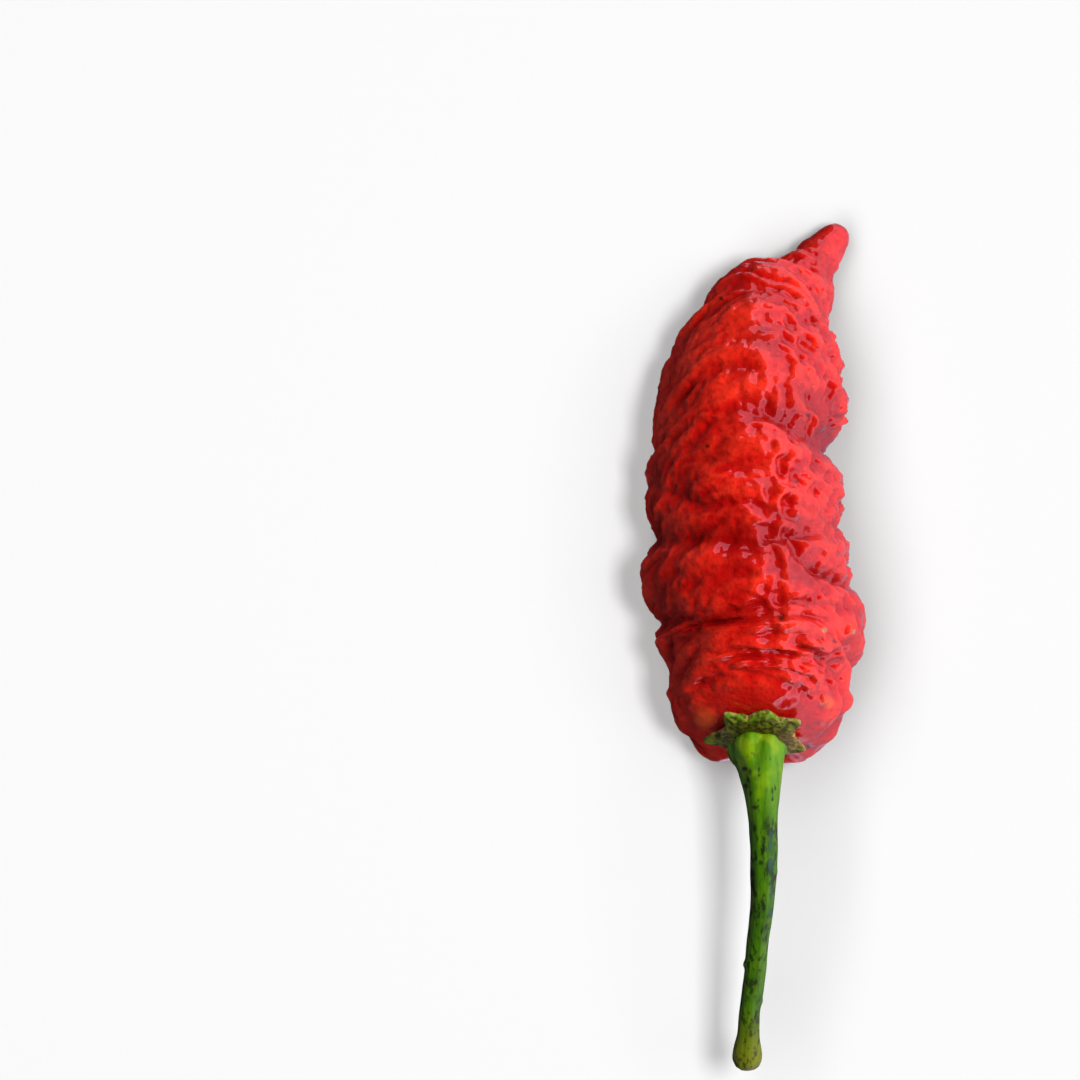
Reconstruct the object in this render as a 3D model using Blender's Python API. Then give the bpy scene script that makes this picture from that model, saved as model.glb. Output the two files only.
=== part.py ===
"""A wrinkled chilli pepper as picked, with its calyx and stem, lying on its side.

The pod runs along +Y from its stem end to its tip and rests on z = 0. Units are metres and degrees.
"""

import math

import bmesh
import bpy
import numpy as np
from mathutils import Vector, noise

# The pod's centre line from the calyx to the tip: x, y, z and the body's radius there
POD_SPINE = (
    (0.0008, -0.0108, 0.0174, 0.0106),
    (0.0011, -0.0072, 0.0152, 0.0110),
    (0.0011, -0.0030, 0.0136, 0.0116),
    (0.0009, 0.0021, 0.0129, 0.0129),
    (-0.0002, 0.0093, 0.0129, 0.0130),
    (-0.0009, 0.0190, 0.0124, 0.0125),
    (-0.0003, 0.0281, 0.0120, 0.0122),
    (0.0004, 0.0333, 0.0115, 0.0118),
    (0.0017, 0.0392, 0.0099, 0.0100),
    (0.0042, 0.0447, 0.0076, 0.0073),
    (0.0068, 0.0479, 0.0062, 0.0044),
    (0.0086, 0.0506, 0.0053, 0.0031),
    (0.0104, 0.0528, 0.0047, 0.0023),
    (0.0123, 0.0549, 0.0043, 0.0016),
)
SHOULDER_DOME = 0.0064
TIP_DOME = 0.0020
DOME_FULLNESS = 2.6
BELLY_FLATNESS = 0.97
CHAMBERS = 3
CHAMBER_SWELL = 0.035
CHAMBER_RIDGE = 78
CHAMBER_TWIST = 300.0
POD_RINGS = 104
POD_SEGMENTS = 46

# Deep folds across the pod: width towards the stem and towards the tip, then points of angle round the pod
# (0 right, 90 up), station and depth
FOLD_LIP_WIDTH = 0.0038
FOLD_LIP = 0.25
FOLDS = (
    (0.0015, 0.0025, (
        (8, 0.0087, 0.0004), (24, 0.0105, 0.0010), (37, 0.0129, 0.0015), (60, 0.0151, 0.0014),
        (78, 0.0161, 0.0013), (91, 0.0163, 0.0015), (109, 0.0159, 0.0019), (122, 0.0150, 0.0023),
        (133, 0.0138, 0.0023), (157, 0.0113, 0.0014), (180, 0.0088, 0.0003), (215, 0.0101, 0.0005),
        (260, 0.0113, 0.0006), (300, 0.0098, 0.0006), (345, 0.0083, 0.0004),
    )),
    (0.0012, 0.0014, (
        (118, 0.0166, 0.0), (145, 0.0171, 0.0012), (180, 0.0165, 0.0016), (215, 0.0178, 0.0012),
        (270, 0.0189, 0.0),
    )),
    (0.0011, 0.0018, (
        (64, 0.0219, 0.0), (48, 0.0207, 0.0018), (25, 0.0186, 0.0021), (0, 0.0178, 0.0017),
        (-35, 0.0170, 0.0),
    )),
    (0.0015, 0.0027, (
        (-20, 0.0250, 0.0), (10, 0.0254, 0.0012), (40, 0.0253, 0.0013), (56, 0.0253, 0.0015),
        (70, 0.0250, 0.0020), (83, 0.0246, 0.0021), (109, 0.0253, 0.0019), (140, 0.0261, 0.0017),
        (180, 0.0265, 0.0022), (215, 0.0275, 0.0014), (250, 0.0285, 0.0008), (285, 0.0283, 0.0),
    )),
    (0.0012, 0.0015, (
        (40, 0.0285, 0.0), (10, 0.0271, 0.0007), (-40, 0.0265, 0.0010), (-75, 0.0259, 0.0006),
        (-100, 0.0253, 0.0),
    )),
    (0.0012, 0.0018, (
        (100, 0.0303, 0.0), (120, 0.0299, 0.0009), (150, 0.0315, 0.0012), (180, 0.0333, 0.0006),
        (210, 0.0338, 0.0),
    )),
    (0.0013, 0.0018, (
        (120, 0.0398, 0.0), (150, 0.0381, 0.0007), (180, 0.0365, 0.0009), (225, 0.0355, 0.0012),
        (265, 0.0363, 0.0),
    )),
    (0.0017, 0.0039, (
        (122, 0.0445, 0.0), (100, 0.0433, 0.0010), (85, 0.0417, 0.0013), (70, 0.0408, 0.0016),
        (54, 0.0395, 0.0022), (30, 0.0384, 0.0033), (5, 0.0379, 0.0046), (-25, 0.0373, 0.0026),
        (-65, 0.0361, 0.0),
    )),
    (0.0011, 0.0011, (
        (40, 0.0503, 0.0), (20, 0.0495, 0.0009), (0, 0.0491, 0.0010), (-40, 0.0483, 0.0),
    )),
    (0.0011, 0.0014, (
        (60, 0.0563, 0.0), (105, 0.0559, 0.0007), (160, 0.0538, 0.0008), (215, 0.0523, 0.0008),
        (260, 0.0518, 0.0),
    )),
)

# Broad swellings: angle, station, height, angular width, length
SWELLINGS = (
    (180, 0.0225, 0.0009, 42, 0.0034),
    (172, 0.0321, 0.0006, 40, 0.0040),
    (98, 0.0141, 0.0007, 40, 0.0011),
    (96, 0.0110, 0.0005, 46, 0.0016),
    (4, 0.0134, 0.0010, 44, 0.0036),
    (4, 0.0092, 0.0008, 30, 0.0018),
    (12, 0.0470, 0.0002, 40, 0.0030),
    (162, 0.0570, 0.0014, 40, 0.0036),
    (262, 0.0036, 0.0026, 60, 0.0032),
    (246, 0.0026, 0.0042, 20, 0.0024),
    (270, 0.0284, 0.0007, 34, 0.0050),
    (221, 0.0024, 0.0020, 26, 0.0026),
    (303, 0.0022, 0.0038, 20, 0.0024),
    (122, 0.0076, 0.0006, 18, 0.0018),
    (30, 0.0070, -0.0007, 16, 0.0020),
)

# Transverse wrinkles between the folds: length along the pod, length round it, height
WRINKLES = (
    (0.0046, 0.0150, 0.00056),
    (0.0027, 0.0090, 0.00040),
    (0.0030, 0.0038, 0.00025),
)
WRINKLE_BOW = 0.0072
SOFT_SIDE = (112, 50, 0.20)
SMOOTH_SHOULDER = 0.0080
SMOOTH_BEAK = 0.0105

# The calyx: lobes of angle and reach from the stem's middle, on a rim
CALYX_RIM = 0.0046
CALYX_LOBES = (
    (41, 0.0065), (84, 0.0058), (137, 0.0064), (203, 0.0070), (250, 0.0061), (292, 0.0060), (335, 0.0066),
)
LOBE_HALF_ANGLE = 25
LOBE_LIFT = 0.0006
CALYX_EDGE = 0.0007
CALYX_COLLAR = 0.0004
COLLAR_RADIUS = 0.0043
COLLAR_WIDTH = 0.0011
CALYX_RINGS = 12
CALYX_SEGMENTS = 66

# The stem's foot on the calyx, then its centre line to the cut end: x, y, z and radius
STEM_FOOT_RADIUS = 0.0037
STEM_FOOT_RISE = 0.0012
STEM_SPINE = (
    (0.0008, -0.0149, 0.0197, 0.0030),
    (0.0010, -0.0174, 0.0206, 0.0025),
    (0.0011, -0.0206, 0.0213, 0.0020),
    (0.0012, -0.0243, 0.0217, 0.0018),
    (0.0012, -0.0288, 0.0216, 0.0017),
    (0.0010, -0.0333, 0.0211, 0.0015),
    (0.0005, -0.0380, 0.0202, 0.0014),
    (0.0001, -0.0430, 0.0189, 0.0014),
    (-0.0005, -0.0475, 0.0174, 0.00135),
    (-0.0006, -0.0502, 0.0165, 0.00145),
    (-0.0007, -0.0524, 0.0157, 0.00185),
    (-0.0008, -0.0548, 0.0149, 0.0019),
)
STEM_HEAD_DOME = 0.0012
STEM_END_DOME = 0.0022
STEM_RIBS = 6
RIB_DEPTH = 0.05
STEM_RINGS = 42
STEM_SEGMENTS = 16

CLEARANCE = 0.0003
SMALL_STEP = 0.00002

# How far the whole shape moves to centre its box on the origin and press its lowest folds flat on z = 0
SET_DOWN = (-0.00006, -0.00026, -0.00073)


def hermite(knots, values, at):
    """Smooth curve through the values at the knots, read at the places in at."""
    values = np.asarray(values, float)
    slopes = np.gradient(values, knots, axis=0)
    i = np.clip(np.searchsorted(knots, at, side="right") - 1, 0, len(knots) - 2)
    span = (knots[i + 1] - knots[i])[..., None]
    t = np.clip((at - knots[i])[..., None] / span, 0, 1)
    return (
        (2 * t**3 - 3 * t**2 + 1) * values[i]
        + (t**3 - 2 * t**2 + t) * span * slopes[i]
        + (3 * t**2 - 2 * t**3) * values[i + 1]
        + (t**3 - t**2) * span * slopes[i + 1]
    )


class Spine:
    """A centre line with a radius, domed at both ends, measured by its length."""

    def __init__(self, rows, first_dome, last_dome):
        self.rows = np.array(rows)
        steps = np.linalg.norm(np.diff(self.rows[:, :3], axis=0), axis=1)
        self.knots = np.concatenate([[0], np.cumsum(steps)])
        self.length = self.knots[-1]
        self.domes = first_dome, last_dome

    def read(self, station):
        """Centre, side, up and radius at each station. Side points right when looking along the line."""
        here = hermite(self.knots, self.rows, station)
        ahead = hermite(self.knots, self.rows, np.minimum(station + SMALL_STEP, self.length))
        behind = hermite(self.knots, self.rows, np.maximum(station - SMALL_STEP, 0))
        along = (ahead - behind)[..., :3]
        along /= np.linalg.norm(along, axis=-1, keepdims=True)
        up = np.array([0, 0, 1]) - along[..., 2:] * along
        up /= np.linalg.norm(up, axis=-1, keepdims=True)
        first = 1 - np.clip(station / self.domes[0], 0, 1)
        last = 1 - np.clip((self.length - station) / self.domes[1], 0, 1)
        dome = ((1 - first**DOME_FULLNESS) * (1 - last**DOME_FULLNESS)) ** (1 / DOME_FULLNESS)
        return here[..., :3], np.cross(along, up), up, here[..., 3] * dome

    def even_stations(self, count):
        """Stations for rings that lie evenly along the outer profile, both poles included."""
        fine = self.length * (1 - np.cos(np.linspace(0, math.pi, 4000))) / 2
        radius = self.read(fine)[3]
        run = np.concatenate([[0], np.cumsum(np.hypot(np.diff(fine), np.diff(radius)))])
        return np.interp(np.linspace(0, run[-1], count + 1), run, fine)


def stem_rows():
    """The stem's foot stands a clearance above the calyx's collar, and its first rise is square to it."""
    start, ahead = np.array(POD_SPINE)[:2, :3]
    outward = (start - ahead) / np.linalg.norm(start - ahead)
    foot = start + outward * (2 * CLEARANCE + CALYX_EDGE + CALYX_COLLAR)
    rise = foot + outward * STEM_FOOT_RISE
    return [(*foot, STEM_FOOT_RADIUS), (*rise, STEM_FOOT_RADIUS), *STEM_SPINE]


POD = Spine(POD_SPINE, SHOULDER_DOME, TIP_DOME)
STEM = Spine(stem_rows(), STEM_HEAD_DOME, STEM_END_DOME)


def ramp(value, low, high):
    """0 below low, 1 above high, smooth between."""
    t = np.clip((value - low) / (high - low), 0, 1)
    return t * t * (3 - 2 * t)


def sampled(x, y, z):
    """Gradient noise, about -1 to 1, at each point."""
    x, y, z = np.broadcast_arrays(x, y, z)
    values = [noise.noise(Vector(p)) for p in zip(x.ravel(), y.ravel(), z.ravel())]
    return np.array(values).reshape(x.shape)


def pod_base(station, angle):
    """The pod without its folds: three faint chambers round a spine, a little flat below."""
    centre, side, up, radius = POD.read(station)
    turn = np.radians(angle)
    ridge = np.radians(CHAMBER_RIDGE + CHAMBER_TWIST * station)
    lobing = 1 + CHAMBER_SWELL * np.cos(CHAMBERS * (turn - ridge))
    across = (radius * lobing * np.cos(turn))[..., None]
    upward = (radius * lobing * np.sin(turn) * BELLY_FLATNESS)[..., None]
    return centre + across * side + upward * up


def pod_base_normal(station, angle):
    """Outward normal of the pod without its folds."""
    station = np.clip(station, 4 * SMALL_STEP, POD.length - 4 * SMALL_STEP)
    along = pod_base(station + SMALL_STEP, angle) - pod_base(station - SMALL_STEP, angle)
    round_it = pod_base(station, angle + 0.2) - pod_base(station, angle - 0.2)
    normal = np.cross(along, round_it)
    return normal / np.linalg.norm(normal, axis=-1, keepdims=True)


def folds(station, angle, wander):
    """Depth of the deep folds, each between two swollen lips."""
    total = np.zeros(station.shape)
    for stem_width, tip_width, points in FOLDS:
        angles, stations, depths = np.array(points).T
        at = np.interp(angle, angles, stations, period=360)
        depth = np.interp(angle, angles, depths, period=360)
        away = station - at - wander
        groove = np.exp(-np.abs(away / np.where(away < 0, stem_width, tip_width)) ** 1.5)
        lip = np.exp(-((away / FOLD_LIP_WIDTH) ** 2))
        total -= depth * (groove - FOLD_LIP * lip)
    return total


def swellings(station, angle):
    total = np.zeros(station.shape)
    for centre, at, height, width, length in SWELLINGS:
        turn = (angle - centre + 180) % 360 - 180
        total += height * np.exp(-((turn / width) ** 2) - ((station - at) / length) ** 2)
    return total


def calm_ends(station):
    """Share of the wrinkles left near the calyx and along the beak."""
    beak = 0.12 + 0.88 * ramp(POD.length - station, 0.001, SMOOTH_BEAK)
    return ramp(station, -0.0010, SMOOTH_SHOULDER) * beak


def section(station, angle):
    """Where a place lies in the pod's section, and its station along the bowed wrinkles."""
    turn = np.radians(angle)
    radius = POD.read(station)[3]
    bowed = station - WRINKLE_BOW * np.sin(turn) * ramp(POD.length - station, 0.004, 0.020)
    return radius * np.cos(turn), radius * np.sin(turn), bowed


def soft_side(angle):
    """Share of the wrinkles left round the pod: they are shallower on its upper left."""
    centre, width, change = SOFT_SIDE
    return 1 - change * np.exp(-(((angle - centre) / width) ** 2))


def wrinkles(station, angle):
    """Height of the transverse wrinkles."""
    x, z, bowed = section(station, angle)
    total = np.zeros(station.shape)
    for number, (length, width, height) in enumerate(WRINKLES):
        shift = 7.3 * number
        drift = 0.35 * sampled(station / (2 * length) + shift, x / width, z / width)
        ridge = sampled(bowed / length + drift, x / width + shift, z / width - shift)
        total += height * (2.4 * np.abs(ridge) ** 0.85 - 0.75)
    return total * soft_side(angle) * calm_ends(station)


def pod_relief(station, angle):
    """Height of the folded skin over the plain pod."""
    x, z, _ = section(station, angle)
    wander = 0.0007 * sampled(station / 0.008, x / 0.006, z / 0.006)
    broad = folds(station, angle, wander) + swellings(station, angle)
    return broad * calm_ends(station) + wrinkles(station, angle)


def pod_point(station, angle):
    relief = pod_relief(station, angle)[..., None]
    return pod_base(station, angle) + relief * pod_base_normal(station, angle)


def stem_grid():
    """Rings of the stem: faint ribs that swell into bulges at the flared head."""
    station = STEM.even_stations(STEM_RINGS)[:, None]
    turn = np.linspace(0, 2 * math.pi, STEM_SEGMENTS, endpoint=False)[None, :]
    centre, side, up, radius = STEM.read(np.broadcast_to(station, (STEM_RINGS + 1, STEM_SEGMENTS)))
    head = 1 - ramp(station, 0.002, 0.008)
    ribs = 1 + RIB_DEPTH * np.cos(STEM_RIBS * turn + 40 * station) * (0.35 + 0.65 * head)
    reach = (radius * ribs)[..., None]
    turn = turn[..., None]
    return centre + reach * (np.cos(turn) * side + np.sin(turn) * up)


def calyx_reach(angle):
    """Distance from the stem's middle to the calyx's edge: pointed lobes on a round rim."""
    reach = np.full(angle.shape, CALYX_RIM)
    for centre, tip in CALYX_LOBES:
        turn = np.abs((angle - centre + 180) % 360 - 180) / LOBE_HALF_ANGLE
        reach = np.maximum(reach, CALYX_RIM + (tip - CALYX_RIM) * np.clip(1 - turn, 0, 1) ** 1.2)
    return reach


def calyx_grid():
    """Rings of the calyx: out over its top to the lobed edge, then back beneath, a clearance off the pod."""
    stations = POD.even_stations(2000)
    radii = POD.read(stations)[3]
    shoulder = radii < radii.max() * 0.95
    shoulder &= stations < POD.length / 2
    angle = np.linspace(0, 360, CALYX_SEGMENTS, endpoint=False)[None, :]
    half = CALYX_RINGS // 2
    share = 1 - np.abs(np.arange(CALYX_RINGS + 1) - half)[:, None] / half
    over = (np.arange(CALYX_RINGS + 1) < half)[:, None]
    distance = calyx_reach(angle) * share**0.8
    station = np.interp(distance, radii[shoulder], stations[shoulder])
    collar = CALYX_COLLAR * (1 - ramp(distance, COLLAR_RADIUS, COLLAR_RADIUS + COLLAR_WIDTH))
    lift = LOBE_LIFT * ramp(distance, CALYX_RIM - 0.0006, CALYX_RIM + 0.0024)
    thickness = np.where(over, CALYX_EDGE + collar, 0.0) * np.where(share > 0.99, 0.5, 1.0)
    height = CLEARANCE + lift + thickness + np.where(share > 0.99, CALYX_EDGE / 2, 0.0)
    angle = np.broadcast_to(angle, distance.shape)
    return pod_point(station, angle) + height[..., None] * pod_base_normal(station, angle)


def pod_grid():
    station = POD.even_stations(POD_RINGS)[:, None]
    angle = np.linspace(0, 360, POD_SEGMENTS, endpoint=False)[None, :]
    station, angle = np.broadcast_arrays(station, angle)
    return pod_point(station, angle)


def set_down(grid):
    """The grid where the chilli lies. Its lowest folds are pressed flat on z = 0."""
    return np.maximum(grid + SET_DOWN, (-1, -1, 0))


def material(name, color, roughness):
    made = bpy.data.materials.new(name)
    made.use_nodes = True
    shader = made.node_tree.nodes["Principled BSDF"]
    shader.inputs["Base Color"].default_value = (*color, 1)
    shader.inputs["Roughness"].default_value = roughness
    shader.inputs["Metallic"].default_value = 0.0
    return made


def body(name, grid, made_of, collection):
    """A UV sphere whose rings and segments are moved to the grid. The first and last rows are its poles."""
    rings, segments = grid.shape[0] - 1, grid.shape[1]
    form = bmesh.new()
    bmesh.ops.create_uvsphere(form, u_segments=segments, v_segments=rings, radius=1)
    for vertex in form.verts:
        ring = round(vertex.co.angle(Vector((0, 0, 1))) / math.pi * rings)
        turn = math.atan2(vertex.co.y, vertex.co.x) / (2 * math.pi)
        segment = round(turn * segments) % segments
        point = grid[ring].mean(axis=0) if ring in (0, rings) else grid[ring, segment]
        vertex.co = set_down(point)
    bmesh.ops.triangulate(form, faces=form.faces)
    mesh = bpy.data.meshes.new(name)
    form.to_mesh(mesh)
    form.free()
    mesh.shade_smooth()
    mesh.materials.append(made_of)
    made = bpy.data.objects.new(name, mesh)
    collection.objects.link(made)
    return made


def main():
    for old in list(bpy.data.objects):
        bpy.data.objects.remove(old)
    chilli = bpy.data.collections.new("chilli_pepper")
    bpy.context.scene.collection.children.link(chilli)
    body("pod", pod_grid(), material("pod_skin", (0.62, 0.012, 0.012), 0.3), chilli)
    body("calyx", calyx_grid(), material("calyx_green", (0.13, 0.15, 0.02), 0.6), chilli)
    body("stem", stem_grid(), material("stem_green", (0.10, 0.27, 0.01), 0.45), chilli)


main()
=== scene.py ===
"""The chilli pepper's fine visual model on its CAD frame, with the photograph's camera, floor and light."""

import math

import bmesh
import bpy
import numpy as np
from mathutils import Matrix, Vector, noise


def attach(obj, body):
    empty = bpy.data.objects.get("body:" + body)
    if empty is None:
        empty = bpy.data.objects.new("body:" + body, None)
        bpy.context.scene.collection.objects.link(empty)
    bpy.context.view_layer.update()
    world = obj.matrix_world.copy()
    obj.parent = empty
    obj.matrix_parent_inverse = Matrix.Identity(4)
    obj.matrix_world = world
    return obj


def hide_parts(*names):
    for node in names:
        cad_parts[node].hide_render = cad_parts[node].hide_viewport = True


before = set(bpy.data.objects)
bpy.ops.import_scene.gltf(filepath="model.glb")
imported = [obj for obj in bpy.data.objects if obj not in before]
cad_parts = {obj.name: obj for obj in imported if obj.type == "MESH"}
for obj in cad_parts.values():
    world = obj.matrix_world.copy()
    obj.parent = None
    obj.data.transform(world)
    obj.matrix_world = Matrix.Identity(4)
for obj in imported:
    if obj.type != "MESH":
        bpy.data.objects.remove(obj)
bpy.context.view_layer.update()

# The pod's centre line from the calyx to the tip: x, y, z and the body's radius there
POD_SPINE = (
    (0.0008, -0.0108, 0.0174, 0.0106),
    (0.0011, -0.0072, 0.0152, 0.0110),
    (0.0011, -0.0030, 0.0136, 0.0116),
    (0.0009, 0.0021, 0.0129, 0.0129),
    (-0.0002, 0.0093, 0.0129, 0.0130),
    (-0.0009, 0.0190, 0.0124, 0.0125),
    (-0.0003, 0.0281, 0.0120, 0.0122),
    (0.0004, 0.0333, 0.0115, 0.0118),
    (0.0017, 0.0392, 0.0099, 0.0100),
    (0.0042, 0.0447, 0.0076, 0.0073),
    (0.0068, 0.0479, 0.0062, 0.0044),
    (0.0086, 0.0506, 0.0053, 0.0031),
    (0.0104, 0.0528, 0.0047, 0.0023),
    (0.0123, 0.0549, 0.0043, 0.0016),
)
SHOULDER_DOME = 0.0064
TIP_DOME = 0.0020
DOME_FULLNESS = 2.6
BELLY_FLATNESS = 0.97
CHAMBERS = 3
CHAMBER_SWELL = 0.035
CHAMBER_RIDGE = 78
CHAMBER_TWIST = 300.0
POD_RINGS = 400
POD_SEGMENTS = 240

# Deep folds across the pod: width towards the stem and towards the tip, then points of angle round the pod
# (0 right, 90 up), station and depth
FOLD_LIP_WIDTH = 0.0038
FOLD_LIP = 0.25
FOLDS = (
    (0.0015, 0.0025, (
        (8, 0.0087, 0.0004), (24, 0.0105, 0.0010), (37, 0.0129, 0.0015), (60, 0.0151, 0.0014),
        (78, 0.0161, 0.0013), (91, 0.0163, 0.0015), (109, 0.0159, 0.0019), (122, 0.0150, 0.0023),
        (133, 0.0138, 0.0023), (157, 0.0113, 0.0014), (180, 0.0088, 0.0003), (215, 0.0101, 0.0005),
        (260, 0.0113, 0.0006), (300, 0.0098, 0.0006), (345, 0.0083, 0.0004),
    )),
    (0.0012, 0.0014, (
        (118, 0.0166, 0.0), (145, 0.0171, 0.0012), (180, 0.0165, 0.0016), (215, 0.0178, 0.0012),
        (270, 0.0189, 0.0),
    )),
    (0.0011, 0.0018, (
        (64, 0.0219, 0.0), (48, 0.0207, 0.0018), (25, 0.0186, 0.0021), (0, 0.0178, 0.0017),
        (-35, 0.0170, 0.0),
    )),
    (0.0015, 0.0027, (
        (-20, 0.0250, 0.0), (10, 0.0254, 0.0012), (40, 0.0253, 0.0013), (56, 0.0253, 0.0015),
        (70, 0.0250, 0.0020), (83, 0.0246, 0.0021), (109, 0.0253, 0.0019), (140, 0.0261, 0.0017),
        (180, 0.0265, 0.0022), (215, 0.0275, 0.0014), (250, 0.0285, 0.0008), (285, 0.0283, 0.0),
    )),
    (0.0012, 0.0015, (
        (40, 0.0285, 0.0), (10, 0.0271, 0.0007), (-40, 0.0265, 0.0010), (-75, 0.0259, 0.0006),
        (-100, 0.0253, 0.0),
    )),
    (0.0012, 0.0018, (
        (100, 0.0303, 0.0), (120, 0.0299, 0.0009), (150, 0.0315, 0.0012), (180, 0.0333, 0.0006),
        (210, 0.0338, 0.0),
    )),
    (0.0013, 0.0018, (
        (120, 0.0398, 0.0), (150, 0.0381, 0.0007), (180, 0.0365, 0.0009), (225, 0.0355, 0.0012),
        (265, 0.0363, 0.0),
    )),
    (0.0017, 0.0039, (
        (122, 0.0445, 0.0), (100, 0.0433, 0.0010), (85, 0.0417, 0.0013), (70, 0.0408, 0.0016),
        (54, 0.0395, 0.0022), (30, 0.0384, 0.0033), (5, 0.0379, 0.0046), (-25, 0.0373, 0.0026),
        (-65, 0.0361, 0.0),
    )),
    (0.0011, 0.0011, (
        (40, 0.0503, 0.0), (20, 0.0495, 0.0009), (0, 0.0491, 0.0010), (-40, 0.0483, 0.0),
    )),
    (0.0011, 0.0014, (
        (60, 0.0563, 0.0), (105, 0.0559, 0.0007), (160, 0.0538, 0.0008), (215, 0.0523, 0.0008),
        (260, 0.0518, 0.0),
    )),
)

# Broad swellings: angle, station, height, angular width, length
SWELLINGS = (
    (180, 0.0225, 0.0009, 42, 0.0034),
    (172, 0.0321, 0.0006, 40, 0.0040),
    (98, 0.0141, 0.0007, 40, 0.0011),
    (96, 0.0110, 0.0005, 46, 0.0016),
    (4, 0.0134, 0.0010, 44, 0.0036),
    (4, 0.0092, 0.0008, 30, 0.0018),
    (12, 0.0470, 0.0002, 40, 0.0030),
    (162, 0.0570, 0.0014, 40, 0.0036),
    (262, 0.0036, 0.0026, 60, 0.0032),
    (246, 0.0026, 0.0042, 20, 0.0024),
    (270, 0.0284, 0.0007, 34, 0.0050),
    (221, 0.0024, 0.0020, 26, 0.0026),
    (303, 0.0022, 0.0038, 20, 0.0024),
    (122, 0.0076, 0.0006, 18, 0.0018),
    (30, 0.0070, -0.0007, 16, 0.0020),
)

# Transverse wrinkles between the folds: length along the pod, length round it, height
WRINKLES = (
    (0.0046, 0.0150, 0.00056),
    (0.0027, 0.0090, 0.00040),
    (0.0030, 0.0038, 0.00025),
)
# How far the wrinkles bow towards the tip over the top
WRINKLE_BOW = 0.0072
# Where the wrinkles are shallower: angle, width, and the share taken off
SOFT_SIDE = (112, 50, 0.20)
# The lengths over which folds and wrinkles come in from the calyx and from the tip
SMOOTH_SHOULDER = 0.0080
SMOOTH_BEAK = 0.0105

# Fine crinkles of the skin: length along the pod, length round it, height on the left, height on the right
CRINKLES = (
    (0.0018, 0.0060, 0.00022, 0.00006),
    (0.0016, 0.0019, 0.00014, 0.00016),
    (0.0008, 0.0010, 0.00010, 0.00012),
)

# The crinkles are fainter near the calyx: the share left there, and the stations between which they grow
FAINT_CRINKLES = 0.3
CRINKLES_GROW = (0.0125, 0.0175)

# Dimples on the right of the pod: length, width, depth, and how far they lean as they go round
DIMPLES = ((0.0034, 0.0026, 0.00070, 0.7), (0.0018, 0.0015, 0.00032, -0.3))

# Soft dents round the calyx: height, and the stations between which they come in and die out
SHOULDER_DENTS = 0.00055
DENTS_IN = (0.0009, 0.0022)
DENTS_OUT = (0.0045, 0.0085)

# A creased pillow's height and the mean level that is taken off it
PILLOW_HEIGHT = 2.4
PILLOW_MEAN = 0.75

# The calyx: lobes of angle and reach from the stem's middle, on a rim
CALYX_RIM = 0.0046
CALYX_LOBES = (
    (41, 0.0065), (84, 0.0058), (137, 0.0064), (203, 0.0070), (250, 0.0061), (292, 0.0060), (335, 0.0066),
)
LOBE_HALF_ANGLE = 25
LOBE_LIFT = 0.0006
CALYX_EDGE = 0.0007
CALYX_COLLAR = 0.0004
COLLAR_RADIUS = 0.0043
COLLAR_WIDTH = 0.0011
# How ragged the edge is: depth, how closely the teeth lie, and a place in the noise
CALYX_RAGGED = ((0.00022, 6, 0.3), (0.00012, 17, 4.3))
CALYX_CURL = 0.00025
VEIN_HEIGHT, VEIN_WIDTH = 0.00016, 0.00028
CRUMPLE_HEIGHT = 0.00012
CALYX_RINGS = 72
CALYX_SEGMENTS = 300

# The stem's foot on the calyx, then its centre line to the cut end: x, y, z and radius
STEM_FOOT_RADIUS = 0.0037
STEM_FOOT_RISE = 0.0012
STEM_SPINE = (
    (0.0008, -0.0149, 0.0197, 0.0030),
    (0.0010, -0.0174, 0.0206, 0.0025),
    (0.0011, -0.0206, 0.0213, 0.0020),
    (0.0012, -0.0243, 0.0217, 0.0018),
    (0.0012, -0.0288, 0.0216, 0.0017),
    (0.0010, -0.0333, 0.0211, 0.0015),
    (0.0005, -0.0380, 0.0202, 0.0014),
    (0.0001, -0.0430, 0.0189, 0.0014),
    (-0.0005, -0.0475, 0.0174, 0.00135),
    (-0.0006, -0.0502, 0.0165, 0.00145),
    (-0.0007, -0.0524, 0.0157, 0.00185),
    (-0.0008, -0.0548, 0.0149, 0.0019),
)
STEM_HEAD_DOME = 0.0012
STEM_END_DOME = 0.0022
STEM_RIBS = 6
RIB_DEPTH = 0.05
KNUCKLES = 9
KNUCKLE_HEIGHT = 0.035
# Shallow streaks along the stem: height as a share of the radius, length, and how many lie round it
STEM_STREAKS = ((0.035, 0.0120, 5.0), (0.020, 0.006, 11))
STEM_LUMPS = 0.045
END_ROUGHNESS = 0.12
STEM_RINGS = 360
STEM_SEGMENTS = 96

# The gap between the pieces, the step that slopes are measured with, and how far all is moved into its frame
CLEARANCE = 0.0003
SMALL_STEP = 0.00002
SET_DOWN = (-0.00006, -0.00026, -0.00073)

# The photograph: camera height, what it looks down on, the width it shows at the pod's middle height
CAMERA_HEIGHT = 0.9
CAMERA_OVER = (-0.02766, 0.01364)
SHOWN_WIDTH = 0.1404
SHOWN_AT = 0.013
SENSOR = 36.0

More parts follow.
